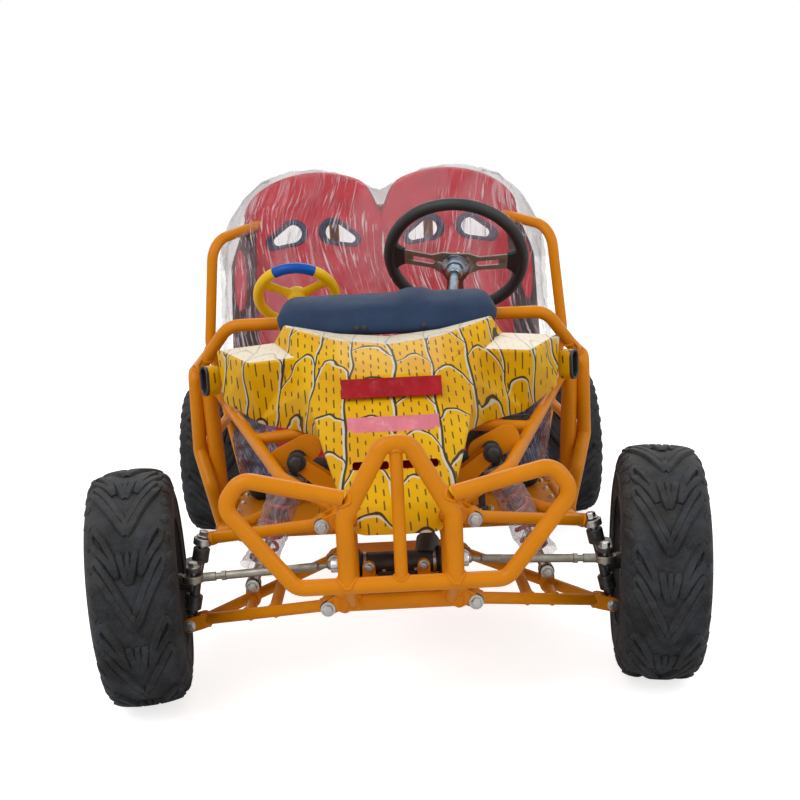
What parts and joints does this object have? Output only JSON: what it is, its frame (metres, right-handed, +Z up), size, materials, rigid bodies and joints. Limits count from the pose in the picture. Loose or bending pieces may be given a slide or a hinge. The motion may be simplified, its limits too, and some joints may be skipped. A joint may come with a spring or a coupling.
{
  "type": "off road go kart",
  "caption": "Side by side off road go kart: bent tube frame with front bumper, nose fairing, wishbone front suspension, steering wheel, joined seats, chain drive and knobbly tyres.",
  "frame": {"origin": "on the ground under the middle of the kart's length and width", "axes": "+Z up, -Y towards the front bumper, +X towards the kart's left side, where the driver sits"},
  "size_m": [1.235, 1.8389, 1.0686],
  "materials": {
    "orange_powder": "gloss",
    "yellow_fairing": "gloss",
    "slate_pad": "satin",
    "black_plastic": "satin",
    "black_grip": "matte",
    "black_steel": "satin",
    "zinc_steel": "satin",
    "brushed_alloy": "satin",
    "spring_red": "gloss",
    "seat_red": "satin",
    "tyre_black": "matte",
    "toy_yellow": "gloss",
    "cast_alloy": "matte",
    "muffler_black": "matte",
    "chain_steel": "satin"
  },
  "bodies": {
    "frame": {"lower_frame": "orange_powder", "floor_pan": "orange_powder", "nose_frame": "orange_powder", "side_guard_left": "orange_powder", "side_guard_right": "orange_powder", "dash_hoop": "orange_powder", "shock_braces": "orange_powder", "seat_hoop": "orange_powder", "engine_cradle": "orange_powder", "front_bumper": "orange_powder", "front_fairing": "yellow_fairing", "dash_pad": "slate_pad", "lamp_pod_left": "black_plastic", "lamp_pod_right": "black_plastic", "rack_housing": "black_plastic", "toy_wheel_post": "toy_yellow", "seat_cushion": "seat_red", "seat_back": "seat_red", "engine": "cast_alloy", "muffler": "muffler_black", "fuel_tank": "black_plastic"},
    "steering_wheel": {"steering_rim": "black_grip", "steering_spokes": "brushed_alloy", "steering_column": "zinc_steel"},
    "rack": {"rack_bar": "zinc_steel"},
    "toy_wheel": {"toy_wheel": "toy_yellow"},
    "throttle": {"throttle_pedal": "black_steel"},
    "brake": {"brake_pedal": "black_steel"},
    "swing_arm": {"swing_arm": "black_steel", "drive_chain": "chain_steel"},
    "rear_axle": {"rear_axle": "zinc_steel", "rear_sprocket": "chain_steel", "brake_disc": "brushed_alloy", "rear_rim_left": "black_steel", "rear_rim_right": "black_steel", "rear_tyre_left": "tyre_black", "rear_tyre_right": "tyre_black"},
    "rear_shock": {"rear_shock_body": "black_steel", "rear_spring": "spring_red"},
    "rear_shock_rod": {"rear_shock_rod": "zinc_steel"},
    "lower_arm_left": {"lower_arm_left": "orange_powder"},
    "upper_arm_left": {"upper_arm_left": "orange_powder"},
    "ball_joint_left": {"ball_joint_left": "zinc_steel"},
    "knuckle_left": {"knuckle_left": "black_steel"},
    "front_wheel_left": {"front_tyre_left": "tyre_black", "front_rim_left": "black_steel"},
    "shock_left": {"shock_body_left": "black_steel", "spring_left": "spring_red"},
    "shock_rod_left": {"shock_rod_left": "zinc_steel"},
    "tie_rod_left": {"tie_rod_left": "zinc_steel"},
    "lower_arm_right": {"lower_arm_right": "orange_powder"},
    "upper_arm_right": {"upper_arm_right": "orange_powder"},
    "ball_joint_right": {"ball_joint_right": "zinc_steel"},
    "knuckle_right": {"knuckle_right": "black_steel"},
    "front_wheel_right": {"front_tyre_right": "tyre_black", "front_rim_right": "black_steel"},
    "shock_right": {"shock_body_right": "black_steel", "spring_right": "spring_red"},
    "shock_rod_right": {"shock_rod_right": "zinc_steel"},
    "tie_rod_right": {"tie_rod_right": "zinc_steel"}
  },
  "joints": [
    {"name": "lower_arm_swing_left", "type": "hinge", "parent": "frame", "child": "lower_arm_left", "pos_m": [0.133, -0.60725, 0.221], "axis": [0, -1, 0], "range_deg": [-5, 5], "stiffness_Nm_per_rad": 2200, "springref_deg": -3.19},
    {"name": "upper_arm_swing_left", "type": "hinge", "parent": "frame", "child": "upper_arm_left", "pos_m": [0.136, -0.60725, 0.373], "axis": [0, -1, 0], "range_deg": [-6, 6]},
    {"name": "ball_joint_lean_left", "type": "hinge", "parent": "lower_arm_left", "child": "ball_joint_left", "pos_m": [0.412, -0.60725, 0.147], "axis": [0, -1, 0], "range_deg": [-5.2, 5.2]},
    {"name": "kingpin_left", "type": "hinge", "parent": "ball_joint_left", "child": "knuckle_left", "pos_m": [0.412, -0.60725, 0.147], "axis": [-0.2087, 0, 0.978], "range_deg": [-15, 15]},
    {"name": "front_wheel_spin_left", "type": "hinge", "parent": "knuckle_left", "child": "front_wheel_left", "pos_m": [0.502, -0.60725, 0.2283], "axis": [0.9894, -0.1391, -0.0419], "continuous": true},
    {"name": "shock_lean_left", "type": "hinge", "parent": "frame", "child": "shock_left", "pos_m": [0.19, -0.57025, 0.452], "axis": [0, -1, 0], "range_deg": [-1.6, 1.6]},
    {"name": "shock_stroke_left", "type": "slide", "parent": "shock_left", "child": "shock_rod_left", "axis": [0.3806, 0, -0.9248], "range_m": [-0.014, 0.014], "deforming": ["spring_left"]},
    {"name": "tie_rod_lean_left", "type": "hinge", "parent": "rack", "child": "tie_rod_left", "pos_m": [0.13, -0.66725, 0.268], "axis": [0, -1, 0], "range_deg": [-6, 6]},
    {"name": "lower_arm_swing_right", "type": "hinge", "parent": "frame", "child": "lower_arm_right", "pos_m": [-0.133, -0.60725, 0.221], "axis": [0, 1, 0], "range_deg": [-5, 5], "stiffness_Nm_per_rad": 2200, "springref_deg": -3.19},
    {"name": "upper_arm_swing_right", "type": "hinge", "parent": "frame", "child": "upper_arm_right", "pos_m": [-0.136, -0.60725, 0.373], "axis": [0, 1, 0], "range_deg": [-6, 6]},
    {"name": "ball_joint_lean_right", "type": "hinge", "parent": "lower_arm_right", "child": "ball_joint_right", "pos_m": [-0.412, -0.60725, 0.147], "axis": [0, 1, 0], "range_deg": [-5.2, 5.2]},
    {"name": "kingpin_right", "type": "hinge", "parent": "ball_joint_right", "child": "knuckle_right", "pos_m": [-0.412, -0.60725, 0.147], "axis": [0.2087, 0, 0.978], "range_deg": [-15, 15]},
    {"name": "front_wheel_spin_right", "type": "hinge", "parent": "knuckle_right", "child": "front_wheel_right", "pos_m": [-0.502, -0.60725, 0.2283], "axis": [-0.9894, -0.1391, -0.0419], "continuous": true},
    {"name": "shock_lean_right", "type": "hinge", "parent": "frame", "child": "shock_right", "pos_m": [-0.19, -0.57025, 0.452], "axis": [0, 1, 0], "range_deg": [-1.6, 1.6]},
    {"name": "shock_stroke_right", "type": "slide", "parent": "shock_right", "child": "shock_rod_right", "axis": [-0.3806, 0, -0.9248], "range_m": [-0.014, 0.014], "deforming": ["spring_right"]},
    {"name": "tie_rod_lean_right", "type": "hinge", "parent": "rack", "child": "tie_rod_right", "pos_m": [-0.13, -0.66725, 0.268], "axis": [0, 1, 0], "range_deg": [-6, 6]},
    {"name": "rack_slide", "type": "slide", "parent": "frame", "child": "rack", "axis": [1, 0, 0], "range_m": [-0.0155, 0.0155]},
    {"name": "steering_wheel_turn", "type": "hinge", "parent": "frame", "child": "steering_wheel", "pos_m": [0.174, 0.01275, 0.815], "axis": [0.1415, 0.776, 0.6147], "range_deg": [-95, 95]},
    {"name": "toy_wheel_turn", "type": "hinge", "parent": "frame", "child": "toy_wheel", "pos_m": [-0.212, -0.00725, 0.742], "axis": [0, 0.7431, 0.6691], "continuous": true},
    {"name": "throttle_press", "type": "hinge", "parent": "frame", "child": "throttle", "pos_m": [0.19, -0.30125, 0.268], "axis": [1, 0, 0], "range_deg": [0, 15], "stiffness_Nm_per_rad": 6, "springref_deg": -20.05},
    {"name": "brake_press", "type": "hinge", "parent": "frame", "child": "brake", "pos_m": [0.272, -0.30125, 0.268], "axis": [1, 0, 0], "range_deg": [0, 15], "stiffness_Nm_per_rad": 9, "springref_deg": -20.05},
    {"name": "swing_arm_pivot", "type": "hinge", "parent": "frame", "child": "swing_arm", "pos_m": [0, 0.39275, 0.3], "axis": [1, 0, 0], "range_deg": [-4, 7], "stiffness_Nm_per_rad": 5200, "springref_deg": -2.5},
    {"name": "rear_axle_spin", "type": "hinge", "parent": "swing_arm", "child": "rear_axle", "pos_m": [0, 0.69275, 0.2285], "axis": [1, 0, 0], "continuous": true},
    {"name": "rear_shock_lean", "type": "hinge", "parent": "frame", "child": "rear_shock", "pos_m": [0, 0.61475, 0.532], "axis": [1, 0, 0], "range_deg": [-1, 1]},
    {"name": "rear_shock_stroke", "type": "slide", "parent": "rear_shock", "child": "rear_shock_rod", "axis": [0, -0.0578, -0.9983], "range_m": [-0.027, 0.016], "deforming": ["rear_spring"]}
  ],
  "couplings": [
    {"joint": "upper_arm_swing_left", "follows": "lower_arm_swing_left", "ratio": 1.156},
    {"joint": "ball_joint_lean_left", "follows": "lower_arm_swing_left", "ratio": -0.987},
    {"joint": "shock_lean_left", "follows": "lower_arm_swing_left", "ratio": 0.27},
    {"joint": "shock_stroke_left", "follows": "lower_arm_swing_left", "m_per_rad": -0.1405},
    {"joint": "tie_rod_lean_left", "follows": "lower_arm_swing_left", "ratio": 1.075},
    {"joint": "upper_arm_swing_right", "follows": "lower_arm_swing_right", "ratio": 1.156},
    {"joint": "ball_joint_lean_right", "follows": "lower_arm_swing_right", "ratio": -0.987},
    {"joint": "shock_lean_right", "follows": "lower_arm_swing_right", "ratio": 0.27},
    {"joint": "shock_stroke_right", "follows": "lower_arm_swing_right", "m_per_rad": -0.1405},
    {"joint": "tie_rod_lean_right", "follows": "lower_arm_swing_right", "ratio": 1.075},
    {"joint": "kingpin_right", "follows": "kingpin_left", "ratio": 1},
    {"joint": "rack_slide", "follows": "kingpin_left", "m_per_rad": 0.0578},
    {"joint": "steering_wheel_turn", "follows": "kingpin_left", "ratio": 6.25},
    {"joint": "rear_shock_lean", "follows": "swing_arm_pivot", "ratio": -0.055},
    {"joint": "rear_shock_stroke", "follows": "swing_arm_pivot", "m_per_rad": -0.2078}
  ]
}
